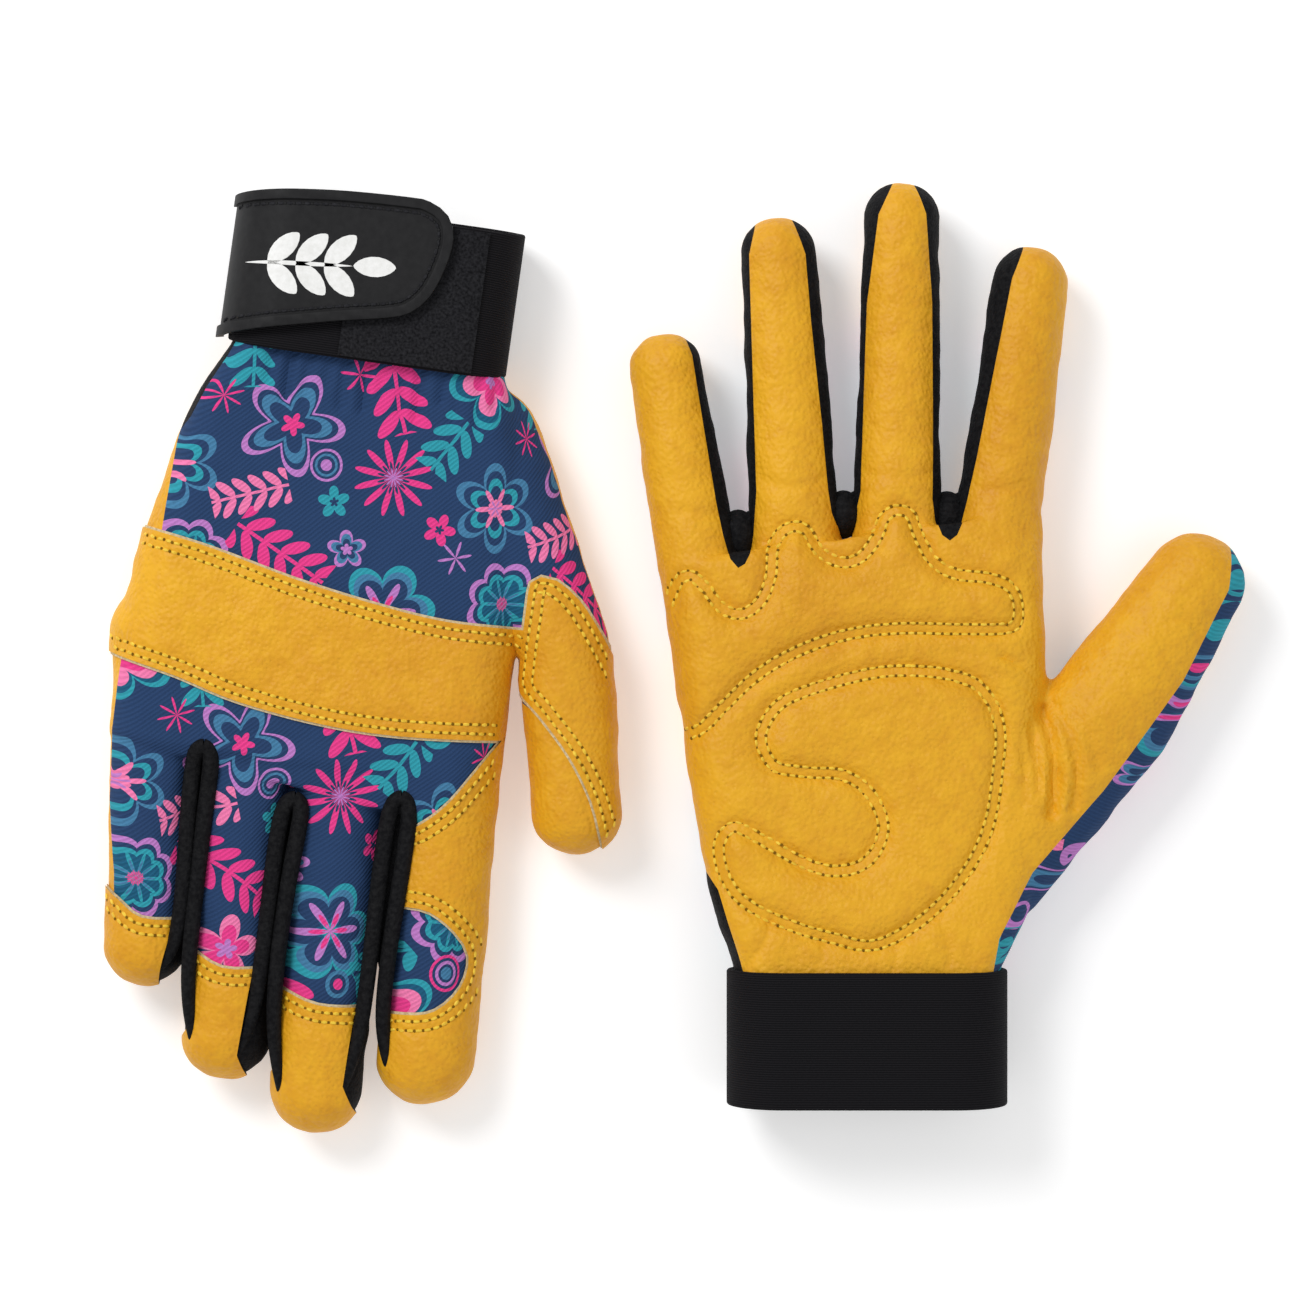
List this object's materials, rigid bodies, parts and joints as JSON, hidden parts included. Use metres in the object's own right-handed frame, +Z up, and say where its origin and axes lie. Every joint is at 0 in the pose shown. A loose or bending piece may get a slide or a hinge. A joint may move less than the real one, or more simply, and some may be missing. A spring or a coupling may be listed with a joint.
{
  "type": "gardening gloves",
  "caption": "Leather-palm gardening gloves laid flat side by side, one with its back up and one with its palm up, with printed fabric backs and black wrist straps.",
  "frame": {"origin": "middle of the pair's bounding box, on the floor that the gloves lie on", "axes": "+X from the glove with its back up towards the glove with its palm up, +Y from the palm-up glove's cuff towards its fingertips, +Z up"},
  "size_m": [0.2888, 0.2376, 0.0325],
  "materials": {
    "leather": "matte",
    "printed_twill": "matte",
    "elastic": "matte",
    "stretch_knit": "satin",
    "loop_pile": "matte",
    "hook_tape": "matte",
    "webbing": "matte",
    "foam": "matte",
    "rubber": "satin"
  },
  "bodies": {
    "gloveB_hand": {"gloveB_palm_leather": "leather", "gloveB_back_fabric": "printed_twill", "gloveB_knuckle_band": "leather", "gloveB_wrist_cuff": "elastic", "gloveB_wrist_vent": "stretch_knit", "gloveB_loop_patch": "loop_pile", "gloveB_strap_anchor": "webbing", "gloveB_palm_pads": "foam", "gloveB_fork_gussets": "stretch_knit"},
    "gloveB_strap": {"gloveB_strap_tab": "rubber", "gloveB_strap_hook": "hook_tape"},
    "gloveB_thumb": {"gloveB_thumb_leather": "leather", "gloveB_thumb_back_fabric": "printed_twill", "gloveB_thumb_patch": "leather"},
    "gloveB_pinky": {"gloveB_pinky_front_leather": "leather", "gloveB_pinky_back_fabric": "printed_twill", "gloveB_pinky_tip_cap": "leather", "gloveB_pinky_side_gussets": "stretch_knit"},
    "gloveB_ring": {"gloveB_ring_front_leather": "leather", "gloveB_ring_back_fabric": "printed_twill", "gloveB_ring_tip_cap": "leather", "gloveB_ring_side_gussets": "stretch_knit"},
    "gloveB_middle": {"gloveB_middle_front_leather": "leather", "gloveB_middle_back_fabric": "printed_twill", "gloveB_middle_tip_cap": "leather", "gloveB_middle_side_gussets": "stretch_knit"},
    "gloveB_index": {"gloveB_index_front_leather": "leather", "gloveB_index_back_fabric": "printed_twill", "gloveB_index_tip_cap": "leather", "gloveB_index_side_gussets": "stretch_knit"},
    "gloveA_hand": {"gloveA_palm_leather": "leather", "gloveA_back_fabric": "printed_twill", "gloveA_knuckle_band": "leather", "gloveA_wrist_cuff": "elastic", "gloveA_wrist_vent": "stretch_knit", "gloveA_loop_patch": "loop_pile", "gloveA_strap_anchor": "webbing", "gloveA_palm_pads": "foam", "gloveA_fork_gussets": "stretch_knit"},
    "gloveA_strap": {"gloveA_strap_tab": "rubber", "gloveA_strap_hook": "hook_tape"},
    "gloveA_thumb": {"gloveA_thumb_leather": "leather", "gloveA_thumb_back_fabric": "printed_twill", "gloveA_thumb_patch": "leather"},
    "gloveA_pinky": {"gloveA_pinky_front_leather": "leather", "gloveA_pinky_back_fabric": "printed_twill", "gloveA_pinky_tip_cap": "leather", "gloveA_pinky_side_gussets": "stretch_knit"},
    "gloveA_ring": {"gloveA_ring_front_leather": "leather", "gloveA_ring_back_fabric": "printed_twill", "gloveA_ring_tip_cap": "leather", "gloveA_ring_side_gussets": "stretch_knit"},
    "gloveA_middle": {"gloveA_middle_front_leather": "leather", "gloveA_middle_back_fabric": "printed_twill", "gloveA_middle_tip_cap": "leather", "gloveA_middle_side_gussets": "stretch_knit"},
    "gloveA_index": {"gloveA_index_front_leather": "leather", "gloveA_index_back_fabric": "printed_twill", "gloveA_index_tip_cap": "leather", "gloveA_index_side_gussets": "stretch_knit"}
  },
  "joints": [
    {"name": "gloveA_lift", "type": "slide", "parent": "gloveB_hand", "child": "gloveA_hand", "axis": [0, 0, 1], "range_m": [0, 0.12]},
    {"name": "gloveB_strap_hinge", "type": "hinge", "parent": "gloveB_hand", "child": "gloveB_strap", "pos_m": [0.01035, -0.0949, 0.0172], "axis": [0, 1, 0], "range_deg": [0, 165]},
    {"name": "gloveB_thumb_swing", "type": "hinge", "parent": "gloveB_hand", "child": "gloveB_thumb", "pos_m": [0.0954, -0.0045, 0.0132], "axis": [0, 0, 1], "range_deg": [0, 25]},
    {"name": "gloveB_pinky_curl", "type": "hinge", "parent": "gloveB_hand", "child": "gloveB_pinky", "pos_m": [0.0066, 0.0234, 0.0236], "axis": [0.9851, 0.1719, 0], "range_deg": [0, 75]},
    {"name": "gloveB_ring_curl", "type": "hinge", "parent": "gloveB_hand", "child": "gloveB_ring", "pos_m": [0.0307, 0.0326, 0.0236], "axis": [0.9983, 0.0576, 0], "range_deg": [0, 75]},
    {"name": "gloveB_middle_curl", "type": "hinge", "parent": "gloveB_hand", "child": "gloveB_middle", "pos_m": [0.0563, 0.0328, 0.0236], "axis": [0.9998, -0.0175, 0], "range_deg": [0, 75]},
    {"name": "gloveB_index_curl", "type": "hinge", "parent": "gloveB_hand", "child": "gloveB_index", "pos_m": [0.0811, 0.0301, 0.0236], "axis": [0.991, -0.134, 0], "range_deg": [0, 75]},
    {"name": "gloveA_strap_hinge", "type": "hinge", "parent": "gloveA_hand", "child": "gloveA_strap", "pos_m": [-0.11184, 0.09607, 0.0154], "axis": [-0.1392, -0.9903, 0], "range_deg": [0, 165]},
    {"name": "gloveA_thumb_swing", "type": "hinge", "parent": "gloveA_hand", "child": "gloveA_thumb", "pos_m": [-0.01698, 0.00478, 0.012], "axis": [0, 0, 1], "range_deg": [0, 18]},
    {"name": "gloveA_pinky_curl", "type": "hinge", "parent": "gloveA_hand", "child": "gloveA_pinky", "pos_m": [-0.1301, -0.02052, 0], "axis": [0.999, -0.0436, 0], "range_deg": [0, 75]},
    {"name": "gloveA_ring_curl", "type": "hinge", "parent": "gloveA_hand", "child": "gloveA_ring", "pos_m": [-0.10746, -0.03329, 0], "axis": [0.9974, -0.0715, 0], "range_deg": [0, 75]},
    {"name": "gloveA_middle_curl", "type": "hinge", "parent": "gloveA_hand", "child": "gloveA_middle", "pos_m": [-0.08329, -0.03669, 0], "axis": [0.9969, -0.0785, 0], "range_deg": [0, 75]},
    {"name": "gloveA_index_curl", "type": "hinge", "parent": "gloveA_hand", "child": "gloveA_index", "pos_m": [-0.05746, -0.03679, 0], "axis": [0.9969, -0.0785, 0], "range_deg": [0, 75]}
  ]
}
